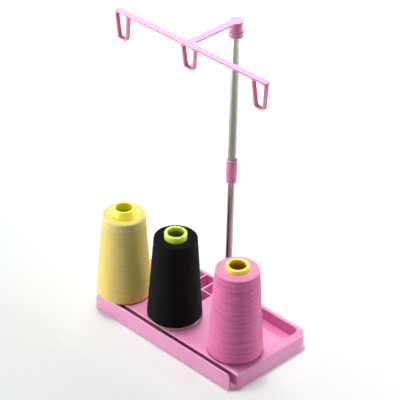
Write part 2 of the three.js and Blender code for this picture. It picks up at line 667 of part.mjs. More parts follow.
// A loop under the bar, its left leg more slanted than its right one
function threadLoop(x, height) {
  const insideBarZ = ARM_TOP_Z - ARM_THICKNESS / 2;
  const bottomZ = ARM_UNDERSIDE_Z - height;
  const left = x - LOOP_TOP_WIDTH / 2;
  const right = x + LOOP_TOP_WIDTH / 2;
  const outer = roundedPolygon([
    [left, insideBarZ, 0], [left, ARM_UNDERSIDE_Z, 0],
    [left + LOOP_LEFT_TAPER, bottomZ, LOOP_OUTER_R], [right - LOOP_RIGHT_TAPER, bottomZ, LOOP_OUTER_R],
    [right, ARM_UNDERSIDE_Z, 0], [right, insideBarZ, 0],
  ]);
  const wall = LOOP_WALL;
  const inner = roundedPolygon([
    [left + wall, ARM_UNDERSIDE_Z, LOOP_INNER_R],
    [left + LOOP_LEFT_TAPER + wall, bottomZ + wall, LOOP_INNER_R],
    [right - LOOP_RIGHT_TAPER - wall, bottomZ + wall, LOOP_INNER_R],
    [right - wall, ARM_UNDERSIDE_Z, LOOP_INNER_R],
  ]);
  const front = -ARM_REACH - BAR_WIDTH / 2;
  const back = front + LOOP_DEPTH;
  return cut(slab(outer, front, back), [slab(inner, front - wall, back + wall)]);
}

function guideArm() {
  const plan = prism(armPlan(), ARM_UNDERSIDE_Z, ARM_TOP_Z);
  const capZ = ARM_TOP_Z - HUB_CAP_THICKNESS;
  const hub = turned([
    [0, HUB_Z], [HUB_R - HUB_EDGE, HUB_Z], [HUB_R, HUB_Z + HUB_EDGE], [HUB_R, capZ],
    [HUB_CAP_R, capZ], [HUB_CAP_R, ARM_TOP_Z], [0, ARM_TOP_Z],
  ]);
  const loops = join([
    threadLoop(BAR_SHIFT - LOOP_SPACING, LOOP_HEIGHT),
    threadLoop(BAR_SHIFT, MIDDLE_LOOP_HEIGHT),
    threadLoop(BAR_SHIFT + LOOP_SPACING, LOOP_HEIGHT),
  ]).intersect(prism(armPlan(), ARM_UNDERSIDE_Z - LOOP_HEIGHT - WALL, ARM_TOP_Z));
  const bore = cylinder(SPIGOT_R + FIT, HUB_Z - WALL, HEAD_TOP_Z + SPIGOT_HEIGHT + FIT);
  return cut(join([plan, hub, loops]), [bore]).translate([0, MAST_Y, 0]);
}

// Rings of a cone, one point for each facet
function ringRow(r, z) {
  const row = [];
  for (let i = 0; i < ROUND; i += 1) {
    const angle = (2 * Math.PI * i) / ROUND;
    row.push(new THREE.Vector3(r * Math.cos(angle), r * Math.sin(angle), z));
  }
  return row;
}

function between(z, [r0, z0], [r1, z1]) {
  return r0 + ((r1 - r0) * (z - z0)) / (z1 - z0);
}

// Outer corners of a core, from its foot up to its rim, as [radius, z]
function coreCorners({ coreHeight, bandR, rimR }) {
  const z0 = DECK_Z + SEAT;
  const topZ = z0 + coreHeight;
  return [[CORE_BASE_R, z0], [bandR, topZ - CORE_BAND_HEIGHT], [rimR, topZ - CORE_RIM_ROLL]];
}

// Thin cone that the thread is wound on, open at both ends, with slits in its lip
function coneCore(cone) {
  const [foot, band, rim] = coreCorners(cone);
  const topZ = rim[1] + CORE_RIM_ROLL;
  const lipZ = topZ - CORE_LIP_HEIGHT;
  const blank = turned([
    [foot[0] - CORE_WALL, foot[1]], foot, band, rim, [rim[0] - CORE_RIM_ROLL, topZ],
    [CORE_MOUTH_R, topZ], [CORE_MOUTH_R, lipZ], [band[0] - CORE_WALL, band[1]],
    [foot[0] - CORE_WALL, foot[1]],
  ]);
  const slits = cone.slitDegrees.map((degrees) => {
    const half = SLIT_WIDTH / 2;
    const slit = box(CORE_MOUTH_R / 2, 2 * rim[0], -half, half, topZ - SLIT_DEPTH, topZ + SLIT_DEPTH);
    return slit.rotate([0, 0, degrees]);
  });
  return cut(blank, slits).translate([cone.x, cone.y, 0]);
}

// Corners of the hole through the thread, close round the core, from the top down
function packageBore(cone, topZ, bottomZ) {
  const [foot, band, rim] = coreCorners(cone);
  const open = (z) => (z > band[1] ? between(z, band, rim) : between(z, foot, band)) + FIT;
  const zs = topZ > band[1] ? [topZ, band[1], bottomZ] : [topZ, bottomZ];
  return zs.map((z) => [open(z), z]);
}

// Thread package: rounded heel and shoulder, and one unbroken helical lay between them
function threadPackage(cone) {
  const { baseR } = cone;
  const z0 = DECK_Z + SEAT + cone.lift;
  const z1 = DECK_Z + cone.coreHeight - cone.showing;
  const layZ0 = z0 + PACKAGE_HEEL_R;
  const layZ1 = z1 - PACKAGE_SHOULDER_R;
  const pitch = (layZ1 - layZ0) / LAY_TURNS;
  const bore = packageBore(cone, z1 + cone.topRise, z0);
  const taper = (z) => {
    const share = (z - layZ0) / (layZ1 - layZ0);
    return baseR + (PACKAGE_TOP_R - baseR) * share;
  };
  const layPoint = (i, j) => {
    const z = layZ0 + (j / 2 - 1 + i / ROUND) * pitch;
    const angle = (2 * Math.PI * (i % ROUND)) / ROUND;
    const held = THREE.MathUtils.clamp(z, layZ0, layZ1);
    const inside = Math.min(z - layZ0, layZ1 - z) > pitch / (10 * ROUND);
    const relief = inside ? LAY_RELIEF * (j % 2 ? 1 : -1) : 0;
    const r = taper(held) + relief;
    return new THREE.Vector3(r * Math.cos(angle), r * Math.sin(angle), held);
  };
  const positions = [];
  const put = (point) => positions.push(point.x, point.y, point.z);
  const strip = (lower, upper) => {
    for (let i = 0; i < ROUND; i += 1) {
      [lower(i), lower(i + 1), upper(i + 1)].forEach(put);
      [lower(i), upper(i + 1), upper(i)].forEach(put);
    }
  };
  const heel = PACKAGE_HEEL_R;
  const shoulder = PACKAGE_SHOULDER_R;
  const ends = (list) => list.map(([r, z]) => ringRow(r, z)).map((row) => (i) => row[i % ROUND]);
  const below = ends([
    bore.at(-1), [baseR - heel, z0], [baseR - heel * DRAWN_IN, z0 + heel * DRAWN_IN],
    [taper(layZ0), layZ0],
  ]);
  const above = ends([
    [taper(layZ1), layZ1], [PACKAGE_TOP_R - shoulder * DRAWN_IN, z1 - shoulder * DRAWN_IN],
    [PACKAGE_TOP_R - shoulder, z1], ...bore,
  ]);
  for (let k = 0; k + 1 < below.length; k += 1) strip(below[k], below[k + 1]);
  for (let j = 0; j < 2 * LAY_TURNS + 4; j += 1) strip((i) => layPoint(i, j), (i) => layPoint(i, j + 1));
  for (let k = 0; k + 1 < above.length; k += 1) strip(above[k], above[k + 1]);
  const geometry = new THREE.BufferGeometry();
  geometry.setAttribute('position', new THREE.Float32BufferAttribute(positions, 3));
  geometry.translate(cone.x, cone.y, 0);
  return toSolid(geometry);
}

// Materials and the finished group
function material(color, roughness, metalness = 0) {
  return new THREE.MeshStandardMaterial({ color, roughness, metalness });
}

const group = new THREE.Group();

function addPiece(name, solid, look) {
  const mesh = new THREE.Mesh(toGeometry(solid), look);
  mesh.name = name;
  group.add(mesh);
}

const PINK_PLASTIC = () => material(0xe29ac6, 0.35);
const POLISHED_STEEL = () => material(0xc9c6c2, 0.18, 1);
const ZINC_STEEL = () => material(0xb9bcc0, 0.4, 1);
const NYLON = () => material(0xeceae4, 0.5);
const RUBBER = () => material(0x2a2a2c, 0.85);

addPiece('base_tray', baseTray(), PINK_PLASTIC());
addPiece('rubber_foot_front_left', rubberFoot(-FOOT_X, FOOT_FRONT_Y), RUBBER());
addPiece('rubber_foot_front_right', rubberFoot(FOOT_X, FOOT_FRONT_Y), RUBBER());
addPiece('rubber_foot_rear_left', rubberFoot(-FOOT_X, FOOT_REAR_Y), RUBBER());
addPiece('rubber_foot_rear_right', rubberFoot(FOOT_X, FOOT_REAR_Y), RUBBER());

for (const [side, x] of Object.entries(PIN_PLACES)) {
  addPiece(`spool_pin_${side}`, spoolPin(x), PINK_PLASTIC());
  const screw = screwUp(x, PIN_Y, RIB_EDGE_Z - SEAT, SCREW_R, SCREW_HEAD_R, SCREW_HEAD_HEIGHT, SCREW_GRIP);
  addPiece(`pin_screw_${side}`, screw, ZINC_STEEL());
}

addPiece('lower_rod', lowerRod(), POLISHED_STEEL());
addPiece('rod_foot_insert', rodFootInsert(), ZINC_STEEL());
addPiece('mast_washer', mastWasher(), ZINC_STEEL());
addPiece('mast_screw', mastScrew(), ZINC_STEEL());
addPiece('rod_guide_bush', rodGuideBush(), NYLON());
addPiece('upper_tube', upperTube(), POLISHED_STEEL());
addPiece('height_collar', heightCollar(), PINK_PLASTIC());
addPiece('collar_grip_bush', collarGripBush(), NYLON());
addPiece('mast_head_plug', mastHeadPlug(), PINK_PLASTIC());
addPiece('guide_arm', guideArm(), PINK_PLASTIC());

function addCone(name, cone, threadColor, coreColor) {
  addPiece(`${name}_cone_core`, coneCore(cone), material(coreColor, 0.4));
  addPiece(`${name}_thread_package`, threadPackage(cone), material(threadColor, 0.8));
}

addCone('yellow', {
  x: PIN_PLACES.left + YELLOW_OFF_X,
  y: PIN_Y + YELLOW_OFF_Y,
  coreHeight: YELLOW_CORE_HEIGHT,
  bandR: YELLOW_BAND_R,
  rimR: YELLOW_RIM_R,
  slitDegrees: [],
  baseR: YELLOW_BASE_R,
  lift: YELLOW_LIFT,
  showing: YELLOW_SHOWING,
  topRise: YELLOW_TOP_RISE,
}, 0xe8da78, 0xe6d828);

addCone('black', {
  x: PIN_PLACES.middle + BLACK_OFF_X,
  y: PIN_Y + BLACK_OFF_Y,
  coreHeight: BLACK_CORE_HEIGHT,
  bandR: BLACK_BAND_R,
  rimR: BLACK_RIM_R,
  slitDegrees: BLACK_SLIT_DEGREES,
  baseR: BLACK_BASE_R,
  lift: BLACK_LIFT,
  showing: BLACK_SHOWING,
  topRise: BLACK_TOP_RISE,
}, 0x16171c, 0xc6dc3c);

addCone('pink', {
  x: PIN_PLACES.right + PINK_OFF_X,
  y: PIN_Y + PINK_OFF_Y,
  coreHeight: PINK_CORE_HEIGHT,
  bandR: PINK_BAND_R,
  rimR: PINK_RIM_R,
  slitDegrees: PINK_SLIT_DEGREES,
  baseR: PINK_BASE_R,
  lift: PINK_LIFT,
  showing: PINK_SHOWING,
  topRise: PINK_TOP_RISE,
}, 0xe676b4, 0xe8d83c);

// The origin goes under the middle of the whole object
const centre = new THREE.Box3().setFromObject(group).getCenter(new THREE.Vector3());
for (const mesh of group.children) mesh.geometry.translate(-centre.x, -centre.y, 0);

export default group;
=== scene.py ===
import math
from collections import namedtuple

import bmesh
import bpy
from mathutils import Matrix, Vector, noise


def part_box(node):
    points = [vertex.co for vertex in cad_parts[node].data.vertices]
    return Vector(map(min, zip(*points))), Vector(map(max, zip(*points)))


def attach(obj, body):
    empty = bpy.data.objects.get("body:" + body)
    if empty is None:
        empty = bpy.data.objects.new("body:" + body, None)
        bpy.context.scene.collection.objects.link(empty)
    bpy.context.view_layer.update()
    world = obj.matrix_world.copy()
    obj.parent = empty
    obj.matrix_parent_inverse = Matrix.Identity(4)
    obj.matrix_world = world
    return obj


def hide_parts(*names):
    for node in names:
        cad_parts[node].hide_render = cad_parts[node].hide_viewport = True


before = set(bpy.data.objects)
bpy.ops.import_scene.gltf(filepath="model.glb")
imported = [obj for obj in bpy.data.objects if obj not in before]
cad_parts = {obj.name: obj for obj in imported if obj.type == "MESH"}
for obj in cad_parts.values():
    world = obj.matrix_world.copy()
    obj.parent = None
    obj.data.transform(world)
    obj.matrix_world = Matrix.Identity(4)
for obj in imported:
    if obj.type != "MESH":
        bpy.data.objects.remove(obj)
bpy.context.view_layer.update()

MM = 0.001

# The camera of the photograph, solved from the stand's straight edges
CAMERA_AZIMUTH = math.radians(44.12)
CAMERA_ELEVATION = math.radians(33.25)
CAMERA_ROLL = math.radians(1.28)
CAMERA_DISTANCE = 2050.37 * MM
CAMERA_LENS = 169.24
CAMERA_SENSOR = 36
CAMERA_CLIP_END = 20
CAMERA_AIM_RIGHT = -1.85 * MM
CAMERA_AIM_UP = 16.04 * MM
CAMERA_CENTRE = Vector((3.3, 2.407, 151.0)) * MM


def camera_axes():
    """Directions to the right, up and back towards the camera, before its roll."""
    a = CAMERA_AZIMUTH
    e = CAMERA_ELEVATION
    back = Vector((math.sin(a) * math.cos(e), -math.cos(a) * math.cos(e), math.sin(e)))
    right = (-back).cross(Vector((0, 0, 1))).normalized()
    return right, right.cross(-back), back


def around_camera(right, toward, up):
    """A place or direction given from the camera's side: metres to its right, towards it and up."""
    a = CAMERA_AZIMUTH
    sideways = Vector((math.cos(a), math.sin(a), 0))
    forward = Vector((math.sin(a), -math.cos(a), 0))
    return right * sideways + toward * forward + Vector((0, 0, up))


def make_camera():
    right, up, back = camera_axes()
    r = CAMERA_ROLL
    aim = CAMERA_CENTRE + CAMERA_AIM_RIGHT * right + CAMERA_AIM_UP * up
    rolled_right = math.cos(r) * right + math.sin(r) * up
    rolled_up = math.cos(r) * up - math.sin(r) * right
    data = bpy.data.cameras.new("camera")
    data.lens = CAMERA_LENS
    data.sensor_width = CAMERA_SENSOR
    data.sensor_fit = "HORIZONTAL"
    data.clip_end = CAMERA_CLIP_END
    camera = bpy.data.objects.new("camera", data)
    turn = Matrix((rolled_right, rolled_up, back)).transposed().to_4x4()
    camera.matrix_world = Matrix.Translation(aim + CAMERA_DISTANCE * back) @ turn
    bpy.context.scene.collection.objects.link(camera)
    bpy.context.scene.camera = camera


make_camera()


# Node trees
class Tree:
    """Short calls for building the nodes of one material or world, from nothing."""

    def __init__(self, owner):
        owner.use_nodes = True
        self.nodes = owner.node_tree.nodes
        self.links = owner.node_tree.links
        self.nodes.clear()

    def put(self, socket, value):
        if isinstance(value, bpy.types.NodeSocket):
            self.links.new(value, socket)
        elif isinstance(value, tuple) and len(value) == 3 and len(socket.default_value) == 4:
            socket.default_value = (*value, 1)
        else:
            socket.default_value = value

    def add(self, kind, inputs=None, **settings):
        node = self.nodes.new(kind)
        for name, value in settings.items():
            setattr(node, name, value)
        for name, value in (inputs or {}).items():
            self.put(node.inputs[name], value)
        return node

    def math(self, operation, a, b=0.0):
        return self.add("ShaderNodeMath", {0: a, 1: b}, operation=operation).outputs[0]

    def object_place(self):
        return self.add("ShaderNodeTexCoord").outputs["Object"]

    def around_profile(self):
        """Share of one turn round a turned piece."""
        uv = self.add("ShaderNodeTexCoord").outputs["UV"]
        return self.add("ShaderNodeSeparateXYZ", {"Vector": uv}).outputs["X"]

    def along_profile(self):
        """Millimetres along the profile of a turned piece, from its highest point."""
        uv = self.add("ShaderNodeTexCoord").outputs["UV"]
        return self.add("ShaderNodeSeparateXYZ", {"Vector": uv}).outputs["Y"]

    def distance_along(self, direction):
        """Metres from the origin, measured along a direction."""
        inputs = {0: self.object_place(), 1: direction}
        return self.add("ShaderNodeVectorMath", inputs, operation="DOT_PRODUCT").outputs["Value"]

    def seen(self):
        """1 for what is seen, straight, in a reflection or through glass, and 0 for what only lights."""
        path = self.add("ShaderNodeLightPath").outputs
        seen = self.math("MAXIMUM", path["Is Camera Ray"], path["Is Glossy Ray"])
        return self.math("MAXIMUM", seen, path["Is Transmission Ray"])

    def noise(self, vector, scale, detail=2.0, roughness=0.5):
        inputs = {"Vector": vector, "Scale": scale, "Detail": detail, "Roughness": roughness}
        return self.add("ShaderNodeTexNoise", inputs).outputs["Fac"]

    def spread(self, value, low, high, start=0.0, end=1.0):
        """A value between start and end moved to the range from low to high."""
        inputs = {"Value": value, "From Min": start, "From Max": end, "To Min": low, "To Max": high}
        return self.add("ShaderNodeMapRange", inputs).outputs["Result"]

    def mix(self, share, a, b):
        node = self.add("ShaderNodeMix", data_type="RGBA")
        self.put(node.inputs[0], share)
        self.put(node.inputs[6], a)
        self.put(node.inputs[7], b)
        return node.outputs[2]

    def bump(self, height, distance, strength):
        inputs = {"Height": height, "Distance": distance, "Strength": strength}
        return self.add("ShaderNodeBump", inputs).outputs["Normal"]


def linear(red, green, blue):
    """A colour as seen on screen, 0 to 255, as the linear numbers that shaders take."""
    def channel(value):
        value /= 255
        return value / 12.92 if value <= 0.04045 else ((value + 0.055) / 1.055) ** 2.4
    return (channel(red), channel(green), channel(blue))


def shaded(color, factor):
    return tuple(min(1.0, channel * factor) for channel in color)


def crevice(color):
    """Painted shade: the deeper, fuller tone of a colour in crevices, where light goes from wall to wall."""
    return tuple(0.6 * channel ** 1.5 for channel in color)


def toward_white(color, share):
    return tuple(channel + (1 - channel) * share for channel in color)


def surface(name, build, **settings):
    """A material whose build function returns the sockets and values of its shader."""
    material = bpy.data.materials.new(name)
    tree = Tree(material)
    shader = tree.add("ShaderNodeBsdfPrincipled", build(tree, **settings))
    tree.add("ShaderNodeOutputMaterial", {"Surface": shader.outputs[0]})
    return material


# Surfaces
# Painted shade in a piece's own crevices reaches this far, and ends at this share of open directions
CREVICE_REACH = 9 * MM
CREVICE_END = 0.75  # share of open directions at which a crevice ends
# Painted highlight on sharp edges, from the pointiness of a flat face to that of a full highlight
HIGHLIGHT_START = 0.5  # pointiness of a flat face
HIGHLIGHT_END = 0.54


def moulded_plastic(tree, color, roughness, wear, coat=0.8):
    """Satin moulded plastic: cloudy gloss and a fine mould grain, with a painted highlight on sharp edges
    and painted shade in crevices.
    """
    place = tree.object_place()
    cloud = tree.noise(place, scale=34, detail=3, roughness=0.55)
    patch = tree.noise(place, scale=9)
    grain = tree.noise(place, scale=2600, detail=2, roughness=0.6)
    smear = tree.noise(place, scale=210, detail=4, roughness=0.7)
    tone = tree.mix(cloud, shaded(color, 0.94), shaded(color, 1.05))
    tone = tree.mix(tree.spread(patch, low=0.0, high=0.4), tone, shaded(color, 0.97))
    # Painted highlight: sharp edges turn paler with their pointiness
    edge = tree.add("ShaderNodeNewGeometry").outputs["Pointiness"]
    highlight_share = tree.spread(edge, low=0.0, high=wear, start=HIGHLIGHT_START, end=HIGHLIGHT_END)
    tone = tree.mix(highlight_share, tone, toward_white(color, 0.45))
    # Painted shade: crevices that ambient occlusion finds in the piece itself take the crevice tone
    occlusion = tree.add(
        "ShaderNodeAmbientOcclusion", {"Distance": CREVICE_REACH}, samples=6, only_local=True
    )
    open_share = tree.spread(occlusion.outputs["AO"], low=0.0, high=1.0, end=CREVICE_END)
    tone = tree.mix(open_share, crevice(color), tone)
    height = tree.math("ADD", tree.math("MULTIPLY", grain, 0.4), tree.math("MULTIPLY", cloud, 2.0))
    return {
        "Base Color": tone,
        "Roughness": tree.spread(smear, low=roughness - 0.07, high=roughness + 0.1),
        "Normal": tree.bump(height, distance=0.03 * MM, strength=0.5),
        "IOR": 1.5,
        "Coat Weight": coat,
        "Coat Roughness": 0.3,
        "Subsurface Weight": 0.1,
        "Subsurface Radius": (1.0, 0.5, 0.75),
        "Subsurface Scale": 1.0 * MM,
    }


# Places along a core's profile, in mm from its highest point: negative outside, positive down its bore
CORE_FOOT_START = -111
CORE_FOOT_END = -105
CORE_GLOW_START = -16
CORE_GLOW_END = -12
CORE_SHADE_WIDTH = 2.5


def core_plastic(tree, color, deep, foot, lit, glow):
    """Thin plastic with a painted glow above the thread, standing in for light through it. Its bore turns
    to the deep tone of a painted shade lit mm below its rim, where the thread shuts the light out, and its
    outside turns to the foot tone, a painted shade, at the bottom."""
    sockets = moulded_plastic(tree, color, roughness=0.4, wear=0.3)
    along = tree.along_profile()
    # Painted shade in the bore below the lit depth
    shut_out = tree.spread(along, low=0.0, high=1.0, start=lit, end=lit + CORE_SHADE_WIDTH)
    tone = tree.mix(shut_out, sockets["Base Color"], deep)
    # Painted shade at the foot of the core
    near_foot = tree.spread(along, low=1.0, high=0.0, start=CORE_FOOT_START, end=CORE_FOOT_END)
    sockets["Base Color"] = tree.mix(near_foot, tone, foot)
    # Painted light: the plastic above the thread glows, standing in for light through it
    sockets["Emission Color"] = color
    lit_share = tree.spread(shut_out, low=1.0, high=0.0)
    above_thread = tree.spread(along, low=0.0, high=1.0, start=CORE_GLOW_START, end=CORE_GLOW_END)
    glowing = tree.math("MULTIPLY", lit_share, above_thread)
    sockets["Emission Strength"] = tree.math("MULTIPLY", glowing, glow)
    sockets["Subsurface Weight"] = 0.6
    sockets["Subsurface Radius"] = (1.0, 1.0, 0.5)
    sockets["Subsurface Scale"] = 4.0 * MM
    return sockets


def polished_metal(tree, color, roughness):
    """A drawn tube with a bright polish: fine lines along its length and a few handling smears."""
    place = tree.object_place()
    stretched = tree.add("ShaderNodeMapping", {"Vector": place, "Scale": (900, 900, 6)}).outputs[0]
    lines = tree.noise(stretched, scale=1.0, detail=3, roughness=0.6)
    smear = tree.noise(place, scale=60, detail=3, roughness=0.6)
    uneven = tree.math("ADD", tree.math("MULTIPLY", lines, 0.06), tree.math("MULTIPLY", smear, 0.08))
    return {
        "Base Color": tree.mix(lines, shaded(color, 0.88), shaded(color, 1.08)),
        "Roughness": tree.math("ADD", uneven, roughness - 0.07),
        "Metallic": 1.0,
        "Normal": tree.bump(lines, distance=0.01 * MM, strength=0.35),
    }


def plated_metal(tree, color, roughness):
    """Zinc plated steel: a dull bloom and a cloudy crystal tone."""
    place = tree.object_place()
    crystal = tree.noise(place, scale=1400, detail=3, roughness=0.6)
    bloom = tree.noise(place, scale=240, detail=3, roughness=0.6)
    return {
        "Base Color": tree.mix(crystal, shaded(color, 0.8), shaded(color, 1.15)),
        "Roughness": tree.spread(bloom, low=roughness - 0.1, high=roughness + 0.15),
        "Metallic": 1.0,
        "Normal": tree.bump(crystal, distance=0.02 * MM, strength=0.4),
    }


def matte_moulding(tree, color, roughness, dust):
    """Rubber or nylon: a fine even grain with a little dust in it."""
    place = tree.object_place()
    grain = tree.noise(place, scale=1500, detail=3, roughness=0.6)
    patch = tree.noise(place, scale=120, detail=3, roughness=0.6)
    return {
        "Base Color": tree.mix(tree.spread(patch, low=0.0, high=dust), color, toward_white(color, 0.35)),
        "Roughness": tree.spread(patch, low=roughness - 0.08, high=roughness + 0.08),
        "Normal": tree.bump(grain, distance=0.05 * MM, strength=0.5),
    }


# Two crossing layers of thread: turns in each mm, and turns that each climbs on its way round
RISING_PER_MM = 2.2
RISING_CLIMB = 14
FALLING_PER_MM = 2.1
FALLING_CLIMB = -13

# How quickly the streaks change, and where the painted light on the top begins along the profile
STREAKS_AROUND = 4.0
STREAKS_PER_MM = 0.4
TOP_LIGHT_START = -13.0
TOP_LIGHT_END = -9.0


def crossing_strands(tree, place, around, along):
    """Two layers of fine turns that climb opposite ways, each on top in its own patches."""
    def turns(per_mm, climb):
        phase = tree.math("ADD", tree.math("MULTIPLY", along, per_mm), tree.math("MULTIPLY", around, climb))
        return tree.math("SINE", tree.math("MULTIPLY", phase, math.tau))

    layer = tree.spread(tree.noise(place, scale=190, detail=2), low=0.0, high=1.0, start=0.42, end=0.58)
    rising = tree.math("MULTIPLY", turns(RISING_PER_MM, RISING_CLIMB), layer)
    falling = turns(FALLING_PER_MM, FALLING_CLIMB)
    falling = tree.math("MULTIPLY", falling, tree.math("SUBTRACT", 1.0, layer))
    return tree.math("ADD", rising, falling)


def drawn_streaks(tree, place, around, along):
    """Uneven streaks, drawn out round the cone."""
    wander = tree.math("MULTIPLY", tree.noise(place, scale=55, detail=2), 0.5)
    drawn_out = {
        "X": tree.math("MULTIPLY", around, STREAKS_AROUND),
        "Y": tree.math("ADD", tree.math("MULTIPLY", along, STREAKS_PER_MM), wander),
    }
    drawn_place = tree.add("ShaderNodeCombineXYZ", drawn_out).outputs[0]
    return tree.noise(drawn_place, scale=1.0, detail=5, roughness=0.7)


def wound_thread(tree, color, dark, fuzz, sheen, sheen_tint, streaks, pale_top=0.0):
    """Spun thread wound on a cone: fine crossing turns, uneven streaks and a soft fibre sheen."""
    place = tree.object_place()
    around = tree.around_profile()
    along = tree.along_profile()
    strands = crossing_strands(tree, place, around, along)
    streak = drawn_streaks(tree, place, around, along)
    fibre = tree.noise(place, scale=3200, detail=2, roughness=0.7)
    in_streak = tree.spread(streak, low=streaks, high=0.0, start=0.36, end=0.6)
    tone = tree.mix(in_streak, color, dark)
    # Painted shade between the turns
    between_turns = tree.spread(strands, low=0.3, high=0.0, start=-1.0, end=0.2)
    tone = tree.mix(between_turns, tone, shaded(dark, 0.75))
    loose_fibre = tree.spread(fibre, low=0.0, high=0.16, start=0.4, end=0.7)
    tone = tree.mix(loose_fibre, tone, toward_white(color, fuzz))
    # Painted light on the top of the package
    on_top = tree.spread(along, low=0.0, high=pale_top, start=TOP_LIGHT_START, end=TOP_LIGHT_END)
    tone = tree.mix(on_top, tone, toward_white(color, 0.3))
    height = tree.math("ADD", tree.math("MULTIPLY", strands, 0.5), tree.math("MULTIPLY", fibre, 0.4))
    return {
        "Base Color": tone,
        "Roughness": 0.8,
        "Normal": tree.bump(height, distance=0.1 * MM, strength=0.6),
        "IOR": 1.4,
        "Specular IOR Level": 0.12,
        "Sheen Weight": sheen,
        "Sheen Roughness": 0.32,
        "Sheen Tint": sheen_tint,
    }


# Colours and finishes
PINK = linear(237, 145, 197)
# A darker copy of the pink, painting shade on the collar and head plug
MAST_SHADE_PINK = linear(226, 134, 182)
# A paler copy of it, painting a highlight on their rounded edges
MAST_EDGE_HIGHLIGHT_PINK = linear(250, 186, 222)
# A paler copy of the pink, painting light on the arm
ARM_LIT_PINK = linear(241, 164, 208)
# A deeper copy, painting shade on all that hangs below the arm
LOW_ARM_SHADE_PINK = linear(236, 124, 174)
# Painted highlight on the collar's upper rim
RIM_HIGHLIGHT_PINK = linear(255, 216, 238)
# Painted shade on the loops' inner faces
LOOP_SHADE_PINK = linear(206, 14, 84)
ROD_STEEL = linear(170, 165, 168)
TUBE_STEEL = linear(170, 169, 161)
ZINC = linear(196, 200, 205)
NYLON = linear(236, 233, 224)
RUBBER = linear(40, 40, 42)


def moulded(name, color, roughness, wear, **settings):
    """A material of moulded plastic."""
    return surface(name, moulded_plastic, color=color, roughness=roughness, wear=wear, **settings)


# The materials named with _edge paint a full highlight on the rounded edges
pink_plastic = moulded("pink_plastic", PINK, roughness=0.36, wear=0.1)
pink_edge = moulded("pink_edge", PINK, roughness=0.3, wear=1.0)
mast_pink = moulded("mast_pink", MAST_SHADE_PINK, roughness=0.42, wear=0.1, coat=0.0)
mast_pink_edge = moulded("mast_pink_edge", MAST_EDGE_HIGHLIGHT_PINK, roughness=0.36, wear=1.0, coat=0.0)
arm_pink = moulded("arm_pink", ARM_LIT_PINK, roughness=0.42, wear=0.1, coat=0.2)
arm_pink_edge = moulded("arm_pink_edge", ARM_LIT_PINK, roughness=0.36, wear=1.0, coat=0.2)
arm_low_shade = moulded("arm_low_shade", LOW_ARM_SHADE_PINK, roughness=0.42, wear=0.1, coat=0.1)
rim_highlight = moulded("rim_highlight", RIM_HIGHLIGHT_PINK, roughness=0.36, wear=0.0, coat=0.0)
loop_inner_shade = moulded("loop_inner_shade", LOOP_SHADE_PINK, roughness=0.4, wear=0.0, coat=0.0)
rod_steel = surface("rod_steel", polished_metal, color=ROD_STEEL, roughness=0.22)
tube_steel = surface("tube_steel", polished_metal, color=TUBE_STEEL, roughness=0.3)
zinc_steel = surface("zinc_steel", plated_metal, color=ZINC, roughness=0.42)
nylon = surface("nylon", matte_moulding, color=NYLON, roughness=0.5, dust=0.1)
rubber = surface("rubber", matte_moulding, color=RUBBER, roughness=0.82, dust=0.3)

THREADS = {
    "yellow": surface(
        "yellow_thread", wound_thread, color=linear(246, 226, 130), dark=linear(224, 186, 88),
        fuzz=0.3, sheen=0.3, sheen_tint=(1, 1, 0.8), streaks=0.3, pale_top=0.3,
    ),
    "black": surface(
        "black_thread", wound_thread, color=linear(9, 10, 13), dark=linear(4, 4, 6),
        fuzz=0.02, sheen=0.03, sheen_tint=(0.5, 0.6, 1), streaks=0.5,
    ),
    "pink": surface(
        "pink_thread", wound_thread, color=linear(255, 142, 200), dark=linear(204, 38, 102),
        fuzz=0.25, sheen=1.0, sheen_tint=(1, 0.84, 0.93), streaks=0.5, pale_top=0.5,
    ),
}
CORES = {
    "yellow": surface(
        "yellow_core", core_plastic, color=linear(252, 240, 18), deep=linear(255, 240, 74),
        foot=linear(122, 114, 30), lit=10.5, glow=0.14,
    ),
    "black": surface(
        "lime_core", core_plastic, color=linear(222, 252, 54), deep=linear(190, 190, 70),
        foot=linear(196, 176, 150), lit=6.5, glow=0.08,
    ),
    "pink": surface(
        "amber_core", core_plastic, color=linear(252, 238, 48), deep=linear(255, 206, 44),
        foot=linear(120, 94, 20), lit=6.0, glow=0.06,
    ),
}

# Meshes
SMOOTH_UNDER = math.radians(40)
WELD_DISTANCE = 0.005 * MM
FLAT_UNDER = math.radians(0.6)
EDGE_ANGLE = math.radians(38)
EDGE_STEPS = 2


def link(name, mesh, material):
    """A smooth piece in the scene, with sharp edges where its faces meet steeply."""
    mesh.shade_smooth()
    mesh.set_sharp_from_angle(angle=SMOOTH_UNDER)
    mesh.materials.append(material)
    piece = bpy.data.objects.new(name, mesh)
    bpy.context.scene.collection.objects.link(piece)
    return piece


def add_material(piece, material):
    """The index that the added material has on the piece."""
    piece.data.materials.append(material)
    return len(piece.data.materials) - 1


def finished(piece, body, slot, *nodes):
    """The piece rides on a body and stands for these CAD nodes, which it hides. Its slot is not used."""
    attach(piece, body)
    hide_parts(*nodes)


def rounded(corners, steps):
    """A closed outline from (x, y, rounding) corners."""
    outline = []
    count = len(corners)
    for i, (x, y, radius) in enumerate(corners):
        if radius <= 0:
            outline.append((x, y))
            continue
        here = Vector((x, y))
        before = Vector(corners[i - 1][:2]) - here
        after = Vector(corners[(i + 1) % count][:2]) - here
        half = before.angle(after) / 2
        before.normalize()
        after.normalize()
        centre = here + (before + after).normalized() * (radius / math.sin(half))
        start = here + before * (radius / math.tan(half)) - centre
        end = here + after * (radius / math.tan(half)) - centre
        sweep = start.angle_signed(end)
        for k in range(steps + 1):
            spoke = start.copy()
            spoke.rotate(Matrix.Rotation(-sweep * k / steps, 2))
            outline.append(tuple(centre + spoke))
    return outline


